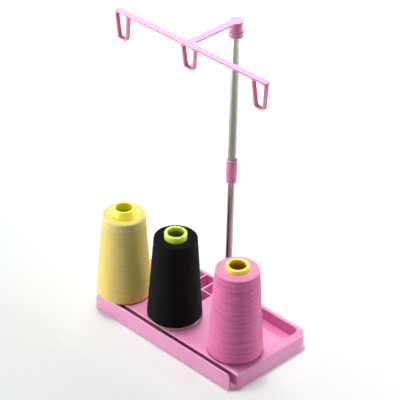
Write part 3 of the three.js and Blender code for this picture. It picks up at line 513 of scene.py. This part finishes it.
def add_ring(bm, axis, angles, point, shape):
    """A ring of vertices, or one vertex for every angle where the point lies on the axis."""
    radius, z = point
    if radius == 0:
        return [bm.verts.new((axis[0] * MM, axis[1] * MM, z * MM))] * len(angles)
    ring = []
    for angle in angles:
        r, h = shape(angle, radius, z) if shape else (radius, z)
        place = (axis[0] + r * math.cos(angle), axis[1] + r * math.sin(angle), h)
        ring.append(bm.verts.new([part * MM for part in place]))
    return ring


def add_faces(bm, rings, turns, along):
    """Faces from ring to ring. Their UVs are turns round the axis and mm along the profile.
    A vertex on the axis comes only once in a face, which is a triangle there."""
    uv = bm.loops.layers.uv.new("UVMap")
    columns = len(rings[0])
    for j in range(len(rings) - 1):
        for i in range(columns):
            k = (i + 1) % columns
            corners = {}
            for vertex, turn, row in (
                (rings[j][i], i, j), (rings[j][k], i + 1, j),
                (rings[j + 1][k], i + 1, j + 1), (rings[j + 1][i], i, j + 1),
            ):
                corners.setdefault(vertex, (turns[turn], along[row]))
            face = bm.faces.new(list(corners))
            for loop, place in zip(face.loops, corners.values()):
                loop[uv].uv = place


def turned(name, profile, axis, material, segments, shape=None, columns=()):
    """A piece turned round a vertical axis from (radius, z) points in mm, on the axis at both ends or closed.
    shape moves each point. UVs run once round, and in mm along the profile from its highest point."""
    angles = sorted([math.tau * i / segments for i in range(segments)] + list(columns))
    bm = bmesh.new()
    rings = [add_ring(bm, axis, angles, point, shape) for point in profile]
    points = list(profile)
    if profile[0][0] != 0:
        points.append(profile[0])
        rings.append(rings[0])
    lengths = [0.0]
    for here, there in zip(points, points[1:]):
        lengths.append(lengths[-1] + math.dist(here, there))
    highest = lengths[max(range(len(points)), key=lambda row: points[row][1])]
    turns = [angle / math.tau for angle in angles] + [1.0]
    add_faces(bm, rings, turns, [length - highest for length in lengths])
    bmesh.ops.recalc_face_normals(bm, faces=bm.faces)
    mesh = bpy.data.meshes.new(name)
    bm.to_mesh(mesh)
    bm.free()
    return link(name, mesh, material)


def softened(name, node, width, plastic, edge_plastic, edge_angle=EDGE_ANGLE):
    """The node's own shape with its sharp edges rounded, in a material of their own."""
    bm = bmesh.new()
    bm.from_mesh(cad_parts[node].data)
    bmesh.ops.remove_doubles(bm, verts=bm.verts, dist=WELD_DISTANCE)
    bmesh.ops.dissolve_limit(bm, angle_limit=FLAT_UNDER, verts=bm.verts, edges=bm.edges, delimit={"NORMAL"})
    mesh = bpy.data.meshes.new(name)
    bm.to_mesh(mesh)
    bm.free()
    piece = link(name, mesh, plastic)
    bevel = piece.modifiers.new("edges", "BEVEL")
    bevel.width = width * MM
    bevel.segments = EDGE_STEPS
    bevel.limit_method = "ANGLE"
    bevel.angle_limit = edge_angle
    bevel.use_clamp_overlap = False
    # The rounded edges take the edge material, with its painted highlight
    bevel.material = add_material(piece, edge_plastic)
    bevel.harden_normals = True
    bevel.miter_outer = "MITER_ARC"
    return piece


# Where things stand, in mm
def middle(node):
    low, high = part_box(node)
    return ((low.x + high.x) / 2 / MM, (low.y + high.y) / 2 / MM)


def bottom(node):
    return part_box(node)[0].z / MM


def top(node):
    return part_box(node)[1].z / MM


MAST = middle("lower_rod")

# Base
TRAY_EDGE = 0.45
PIN_EDGE = 0.25

tray = softened("moulded_base", "base_tray", TRAY_EDGE, pink_plastic, pink_edge)
finished(tray, "base", "pink_plastic", "base_tray")

for side in ("left", "middle", "right"):
    pin = softened(f"pin_{side}", f"spool_pin_{side}", PIN_EDGE, pink_plastic, pink_edge)
    finished(pin, "base", "pink_plastic", f"spool_pin_{side}")

# Screws, washer, insert and bushes, which keep their own shape
for node, material in (
    ("mast_washer", zinc_steel), ("mast_screw", zinc_steel), ("rod_foot_insert", zinc_steel),
    ("pin_screw_left", zinc_steel), ("pin_screw_middle", zinc_steel), ("pin_screw_right", zinc_steel),
    ("rod_guide_bush", nylon), ("collar_grip_bush", nylon),
):
    for material_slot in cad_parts[node].material_slots:
        material_slot.material = material

# Feet
FOOT_R = 6
FOOT_CHAMFER_WIDTH = 1.6
FOOT_CHAMFER_HEIGHT = 0.9
FOOT_SOLE_ROUNDING = 0.5
FOOT_SIDE_ROUNDING = 0.7
FOOT_TOP_ROUNDING = 0.3


def foot_profile(node):
    high = top(node)
    return rounded([
        (0, 0, 0), (FOOT_R - FOOT_CHAMFER_WIDTH, 0, FOOT_SOLE_ROUNDING),
        (FOOT_R, FOOT_CHAMFER_HEIGHT, FOOT_SIDE_ROUNDING), (FOOT_R, high, FOOT_TOP_ROUNDING), (0, high, 0),
    ], steps=4)


for place in ("front_left", "front_right", "rear_left", "rear_right"):
    node = f"rubber_foot_{place}"
    foot = turned(f"foot_{place}", foot_profile(node), middle(node), rubber, segments=64)
    finished(foot, "base", "rubber", node)

# Mast
ROD_R = 3.8
ROD_INSIDE_R = 3.0
TUBE_R = 4.6
TUBE_INSIDE_R = 4.1
WALL_MIDDLE_R = (TUBE_R + TUBE_INSIDE_R) / 2
PIPE_EDGE_R = 0.15
COLLAR_TOP_Z = top("height_collar")
DIMPLE_ABOVE_COLLAR = 5
DIMPLE_Z = COLLAR_TOP_Z + DIMPLE_ABOVE_COLLAR
DIMPLE_BALL_R = 1.6
DIMPLE_DEPTH = 0.3
DIMPLE_BEARING = math.radians(-50)
DIMPLE_ROW = 0.2


def pipe(node, inside, outside):
    low, high = bottom(node), top(node)
    return rounded([
        (inside, low, 0), (outside, low, PIPE_EDGE_R), (outside, high, PIPE_EDGE_R), (inside, high, 0),
    ], steps=3)


def with_dimple_rows(profile):
    """Extra points up the outside of the tube, close together where the dimple is."""
    low = max(i for i, (r, z) in enumerate(profile) if r > WALL_MIDDLE_R and z < DIMPLE_Z)
    count = round(2 * DIMPLE_BALL_R / DIMPLE_ROW)
    rows = [(TUBE_R, DIMPLE_Z - DIMPLE_BALL_R + k * DIMPLE_ROW) for k in range(count + 1)]
    return profile[:low + 1] + rows + profile[low + 1:]


def dimpled(angle, r, z):
    """The ball-shaped dimple pressed in above the collar."""
    across = TUBE_R * math.remainder(angle - DIMPLE_BEARING, math.tau)
    away = math.hypot(across, z - DIMPLE_Z)
    if r < WALL_MIDDLE_R or away >= DIMPLE_BALL_R:
        return r, z
    return r + min(0, DIMPLE_BALL_R - DIMPLE_DEPTH - math.sqrt(DIMPLE_BALL_R ** 2 - away ** 2)), z


rod = turned("mast_rod", pipe("lower_rod", ROD_INSIDE_R, ROD_R), MAST, rod_steel, segments=96)
finished(rod, "base", "polished_steel", "lower_rod")

tube_profile = with_dimple_rows(pipe("upper_tube", TUBE_INSIDE_R, TUBE_R))
tube = turned("mast_tube", tube_profile, MAST, tube_steel, segments=192, shape=dimpled)
finished(tube, "mast_upper", "polished_steel", "upper_tube")

# Collar, head plug and arm
MAST_EDGE = 0.35
COLLAR_EDGE_ANGLE = math.radians(50)
RIM_DEPTH = 0.6
RIM_FACES_UP = 0.3
LOOP_WIDTH = 19.9
LOOP_DEPTH = 5
LOOP_MARGIN = 1
LOOP_FACES_SIDEWAYS = 0.7
ARM_THICKNESS = 2.4


def paint_rim_highlight(collar):
    """The collar's upper rim round the tube, made pale by a painted highlight."""
    rim = add_material(collar, rim_highlight)
    for face in collar.data.polygons:
        if face.normal.z > RIM_FACES_UP and face.center.z / MM > COLLAR_TOP_Z - RIM_DEPTH:
            face.material_index = rim


def shade_loops(arm):
    """Painted shade in deeper pinks: darkest on the loops' inner faces, and on what hangs below the arm."""
    inner_shade = add_material(arm, loop_inner_shade)
    deep = add_material(arm, arm_low_shade)
    low, high = (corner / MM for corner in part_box("guide_arm"))
    half = LOOP_WIDTH / 2
    loop_middles = (low.x + half, (low.x + high.x) / 2, high.x - half)
    for face in arm.data.polygons:
        place = face.center / MM
        if place.z >= high.z - ARM_THICKNESS:
            continue
        loop_middle = min(loop_middles, key=lambda x: abs(x - place.x))
        faces_middle = face.normal.x * (loop_middle - place.x) > 0
        faces_sideways = abs(face.normal.x) > LOOP_FACES_SIDEWAYS
        in_loop = place.y < low.y + LOOP_DEPTH + LOOP_MARGIN
        face.material_index = inner_shade if faces_middle and faces_sideways and in_loop else deep


collar = softened("collar", "height_collar", MAST_EDGE, mast_pink, mast_pink_edge, COLLAR_EDGE_ANGLE)
paint_rim_highlight(collar)
finished(collar, "mast_upper", "pink_plastic", "height_collar")

head_plug = softened("head_plug", "mast_head_plug", MAST_EDGE, mast_pink, mast_pink_edge)
finished(head_plug, "mast_upper", "pink_plastic", "mast_head_plug")

arm = softened("arm", "guide_arm", MAST_EDGE, arm_pink, arm_pink_edge)
shade_loops(arm)
finished(arm, "guide_arm", "pink_plastic", "guide_arm")

# Cores of the cones
DECK_Z = 21
CORE_Z = 21.2
CORE_BASE_R = 27
CORE_WALL = 1.5
CORE_FOOT_ROUNDING = 0.3
FOOT_FLANGE_HEIGHT = 2.0
FOOT_FLANGE_ROUNDING_BELOW = 0.5
FOOT_FLANGE_ROUNDING_ABOVE = 0.8
CORE_BAND_HEIGHT = 12
CORE_BAND_ROUNDING = 3
CORE_MOUTH_R = 9.3
CORE_LIP_HEIGHT = 4
CORE_LIP_ROUNDING = 0.6
CORE_RIM_ROLL = 0.8
SLIT_WIDTH = 0.9
SLIT_DEPTH = 3
SLIT_HALF_ANGLE = math.asin(SLIT_WIDTH / 2 / CORE_MOUTH_R)
SLIT_CORNER = 0.0005  # radians between the two columns of a slit's wall

# For the core: its height, the radii of its foot, of the band below its rim and of its rim, and the bearings
# of its slits in degrees. For the thread: its radius at the bottom, its lift above the core's foot, how much
# core is showing above it, how much its top rises towards the core, and how deep its uneven bands are.
Cone = namedtuple("Cone", "name core_height foot_r band_r rim_r slits base_r lift showing top_rise bands")
CONES = (
    Cone("yellow", 113, 27, 13.4, 11.6, (), 31.8, 0.6, 8, -2.9, 0.18),
    Cone("black", 112, 29.6, 12.8, 12.6, (-15, 103), 31.3, 3.0, 6, -1.0, 0.14),
    Cone("pink", 112.6, 27, 12.9, 12.8, (8,), 31.3, 1.8, 5.6, 0.6, 0.14),
)
CORE_SLOTS = {"yellow": "yellow_core", "black": "lime_core", "pink": "amber_core"}


def core_top(cone):
    return CORE_Z + cone.core_height


def band_z(cone):
    """Where the core's taper ends and its steeper band begins."""
    return core_top(cone) - CORE_BAND_HEIGHT


def radius_between(z, low, high):
    """The radius at height z on the line through two (radius, z) points."""
    (r0, z0), (r1, z1) = low, high
    return r0 + (r1 - r0) * (z - z0) / (z1 - z0)


def cone_radius(cone, z):
    """Outside radius of the core below its band."""
    return radius_between(z, (CORE_BASE_R, CORE_Z), (cone.band_r, band_z(cone)))


def core_foot(cone):
    """Corners of the core's outside edge at the bottom, with a flange where the cone has one."""
    if cone.foot_r <= CORE_BASE_R:
        return [(CORE_BASE_R, CORE_Z, CORE_FOOT_ROUNDING)]
    flange_top = CORE_Z + FOOT_FLANGE_HEIGHT
    return [
        (cone.foot_r, CORE_Z, FOOT_FLANGE_ROUNDING_BELOW),
        (cone.foot_r, flange_top, FOOT_FLANGE_ROUNDING_ABOVE),
        (cone_radius(cone, flange_top), flange_top, 0),
    ]


def core_profile(cone):
    high = core_top(cone)
    return rounded([
        (CORE_BASE_R - CORE_WALL, CORE_Z, CORE_FOOT_ROUNDING), *core_foot(cone),
        (cone.band_r, band_z(cone), 0), (cone.rim_r, high, CORE_RIM_ROLL),
        (CORE_MOUTH_R, high, CORE_RIM_ROLL), (CORE_MOUTH_R, high - CORE_LIP_HEIGHT, CORE_LIP_ROUNDING),
        (cone.band_r - CORE_WALL, band_z(cone), CORE_BAND_ROUNDING),
    ], steps=4)


def slit_columns(cone):
    """Angles of the two edges of each wall of the slits."""
    half = SLIT_HALF_ANGLE
    edges = (-half - SLIT_CORNER, -half, half, half + SLIT_CORNER)
    return [(math.radians(degrees) + edge) % math.tau for degrees in cone.slits for edge in edges]


def slitted(cone):
    """The rim's points lowered to the floor of the slits that catch the thread's end."""
    floor = core_top(cone) - SLIT_DEPTH
    reach = SLIT_HALF_ANGLE + SLIT_CORNER / 2

    def shape(angle, r, z):
        inside = any(
            abs(math.remainder(angle - math.radians(degrees), math.tau)) < reach for degrees in cone.slits
        )
        return r, min(z, floor) if inside else z
    return shape


# Thread packages
PACKAGE_TOP_R = 24.2
PACKAGE_SHOULDER_R = 1.8
PACKAGE_HEEL_R = 2.4
THREAD_TO_CORE = 0.15
ROW_HEIGHT = 0.5
BAND_TILT = 0.9
BAND_CHANGE_AROUND = 0.6
BAND_CHANGE_PER_MM = 0.6
BAND_SEED_STEP = 9
CROSSING_DEPTH = 0.05
RISING_PITCH = 3.1
RISING_STARTS = 3
FALLING_PITCH = 3.4
FALLING_STARTS = 4
TOP_SWELL = 0.5
TOP_SWELL_PER_MM = 0.35
TOP_DEPTH = 4
TOP_FADE = 2


def package_edge_z(cone):
    """The height of the thread's outer top edge."""
    return DECK_Z + cone.core_height - cone.showing


def with_rows(outline):
    """The outline with points at every row along each stretch between two of its own."""
    fine = [outline[0]]
    for (r0, z0), (r1, z1) in zip(outline, outline[1:]):
        rows = max(1, round(math.dist((r0, z0), (r1, z1)) / ROW_HEIGHT))
        for k in range(1, rows + 1):
            fine.append((r0 + (r1 - r0) * k / rows, z0 + (z1 - z0) * k / rows))
    return fine


def package_profile(cone):
    """Closed outline of the thread, with a row for every half millimetre of its side and top."""
    low = CORE_Z + cone.lift
    edge = package_edge_z(cone)
    inner = edge + cone.top_rise
    band = (cone.band_r, band_z(cone))
    rim = (cone.rim_r, core_top(cone))
    return with_rows(rounded([
        (cone_radius(cone, low) + THREAD_TO_CORE, low, 0),
        (cone.base_r, low, PACKAGE_HEEL_R),
        (PACKAGE_TOP_R, edge, PACKAGE_SHOULDER_R),
        (radius_between(inner, band, rim) + THREAD_TO_CORE, inner, 0),
        (cone.band_r + THREAD_TO_CORE, band_z(cone), 0),
    ], steps=6))


def wound(cone, seed):
    """Slow uneven bands that tilt a little, faint crossing turns and a soft top."""
    top_start = package_edge_z(cone) - TOP_DEPTH
    top_r = PACKAGE_TOP_R - PACKAGE_SHOULDER_R

    def uneven_bands(angle, z):
        tilted = z + BAND_TILT * math.sin(angle + seed)
        up = tilted * BAND_CHANGE_PER_MM + seed * BAND_SEED_STEP
        place = Vector((BAND_CHANGE_AROUND * math.cos(angle), BAND_CHANGE_AROUND * math.sin(angle), up))
        return cone.bands * noise.noise(place)

    def crossing_turns(angle, z):
        rising = math.sin(z * math.tau / RISING_PITCH + angle * RISING_STARTS)
        falling = math.sin(z * math.tau / FALLING_PITCH - angle * FALLING_STARTS)
        return CROSSING_DEPTH * max(rising, falling)

    def swell(angle, r):
        place = Vector((r * TOP_SWELL_PER_MM, math.cos(angle + seed), math.sin(angle + seed)))
        return TOP_SWELL * noise.noise(place)

    def shape(angle, r, z):
        out = uneven_bands(angle, z) + crossing_turns(angle, z)
        on_top = min(1, max(0, (top_r - r) / TOP_FADE)) if z > top_start else 0
        return r + out, z + on_top * swell(angle, r)
    return shape


for seed, cone in enumerate(CONES):
    axis = middle(f"{cone.name}_cone_core")
    core = turned(
        f"{cone.name}_core", core_profile(cone), axis, CORES[cone.name],
        segments=96, shape=slitted(cone), columns=slit_columns(cone),
    )
    finished(core, f"{cone.name}_cone", CORE_SLOTS[cone.name], f"{cone.name}_cone_core")
    package = turned(
        f"{cone.name}_thread", package_profile(cone), axis, THREADS[cone.name],
        segments=144, shape=wound(cone, seed),
    )
    finished(package, f"{cone.name}_cone", f"{cone.name}_thread", f"{cone.name}_thread_package")

# Table, background and light, in metres and watts
FLOOR_REACH = 6.0
FLOOR_DARK = (0.61, 0.63, 0.622)
FLOOR_PALE = (0.65, 0.67, 0.662)
FLOOR_LIFT_NEAR = 0.15
FLOOR_LIFT_FAR = 0.6
FLOOR_ASIDE = around_camera(right=0.7, toward=-0.7, up=0)
FLOOR_ASIDE_START = -0.15
FLOOR_ASIDE_END = 0.4
FLOOR_AWAY_START = 0.32
FLOOR_AWAY_END = 1.1
CARD_TONE = (1.0, 0.98, 0.96)
CARD_LEVEL_MIDDLE = 0.5
CARD_LEVEL_ENDS = 1.0
CARD_FADE_START = 0.3
CARD_FADE_END = 1.0
CARD_HEIGHT = 0.0006
CARD_CORNERS = ((-0.75, 0.12), (0.75, 0.1), (2.0, 1.3), (-2.0, 1.3))
WORLD_LEVEL = 0.05
LIGHT_AIM = Vector((0, 0, 0.15))


def sheet(name, corners, material):
    """A flat piece with four corners."""
    mesh = bpy.data.meshes.new(name)
    mesh.from_pydata(corners, [], [(0, 1, 2, 3)])
    mesh.materials.append(material)
    piece = bpy.data.objects.new(name, mesh)
    bpy.context.scene.collection.objects.link(piece)
    return piece


def floor_material():
    """A pale tone that takes shadow. Light of its own, which is seen but lights nothing else, lifts it to
    white away from the stand, and more behind the stand on the right than in front on the left."""
    material = bpy.data.materials.new("pale_floor")
    tree = Tree(material)
    seen = tree.seen()
    grain = tree.noise(tree.object_place(), scale=90, detail=3)
    tone = tree.mix(grain, FLOOR_DARK, FLOOR_PALE)
    diffuse = tree.add("ShaderNodeBsdfDiffuse", {"Color": tone}).outputs[0]
    across = tree.distance_along(FLOOR_ASIDE)
    away = tree.add("ShaderNodeVectorMath", {0: tree.object_place()}, operation="LENGTH").outputs["Value"]
    aside = tree.spread(across, FLOOR_LIFT_NEAR, FLOOR_LIFT_FAR, FLOOR_ASIDE_START, FLOOR_ASIDE_END)
    far = tree.spread(away, low=0.0, high=1.0, start=FLOOR_AWAY_START, end=FLOOR_AWAY_END)
    lift = tree.math("MULTIPLY", seen, tree.math("MAXIMUM", aside, far))
    glow = tree.add("ShaderNodeEmission", {"Color": (1, 1, 1), "Strength": lift}).outputs[0]
    both = tree.add("ShaderNodeAddShader", {0: diffuse, 1: glow}).outputs[0]
    tree.add("ShaderNodeOutputMaterial", {"Surface": both})
    return material


def make_floor():
    """A wide flat table."""
    size = FLOOR_REACH
    corners = [(-size, -size, 0), (size, -size, 0), (size, size, 0), (-size, size, 0)]
    floor = sheet("floor", corners, floor_material())


def card_material():
    """Grey in the middle and paler towards both ends."""
    material = bpy.data.materials.new("grey_card")
    tree = Tree(material)
    from_middle = tree.math("ABSOLUTE", tree.distance_along(around_camera(right=1, toward=0, up=0)))
    level = tree.spread(from_middle, CARD_LEVEL_MIDDLE, CARD_LEVEL_ENDS, CARD_FADE_START, CARD_FADE_END)
    glow = tree.add("ShaderNodeEmission", {"Color": CARD_TONE, "Strength": level}).outputs[0]
    tree.add("ShaderNodeOutputMaterial", {"Surface": glow})
    return material


def make_grey_card():
    """A card on the table in front, beyond the picture, that is only seen in reflections."""
    corners = [around_camera(right, toward, CARD_HEIGHT) for right, toward in CARD_CORNERS]
    card = sheet("grey_card", corners, card_material())
    card.visible_camera = False
    card.visible_diffuse = False
    card.visible_shadow = False
    card.visible_transmission = False


def make_world():
    """White where it is seen, and a faint light from all round."""
    world = bpy.data.worlds.new("studio")
    tree = Tree(world)
    level = tree.spread(tree.seen(), low=WORLD_LEVEL, high=1.0)
    background = tree.add("ShaderNodeBackground", {"Color": (1, 1, 1), "Strength": level})
    tree.add("ShaderNodeOutputWorld", {"Surface": background.outputs[0]})
    bpy.context.scene.world = world


def area_light(name, place, width, height, power):
    data = bpy.data.lights.new(name, "AREA")
    data.shape = "RECTANGLE"
    data.size = width
    data.size_y = height
    data.energy = power
    light = bpy.data.objects.new(name, data)
    light.location = place
    light.rotation_euler = (place - LIGHT_AIM).to_track_quat("Z", "Y").to_euler()
    light.visible_camera = False
    bpy.context.scene.collection.objects.link(light)
    return light


make_floor()
make_grey_card()
make_world()

# A small key and a wide soft light above, three low panels, and a light behind that nothing mirrors
area_light("key", around_camera(right=-0.05, toward=-0.13, up=1.5), width=0.22, height=0.22, power=17.5)
area_light("soft_top", around_camera(right=0.0, toward=-0.4, up=1.3), width=1.0, height=1.0, power=1.5)
area_light("soft_left", around_camera(right=-1.3, toward=0.0, up=0.18), width=1.0, height=0.34, power=15.5)
area_light("soft_right", around_camera(right=1.3, toward=-0.5, up=0.18), width=1.0, height=0.34, power=12)
area_light("soft_wall", around_camera(right=1.0, toward=0.9, up=0.18), width=1.0, height=0.34, power=1.5)
soft_back = area_light(
    "soft_back", around_camera(right=0.0, toward=-1.5, up=1.1), width=1.0, height=0.8, power=3
)
soft_back.visible_glossy = False

bpy.context.scene.view_settings.view_transform = "Standard"
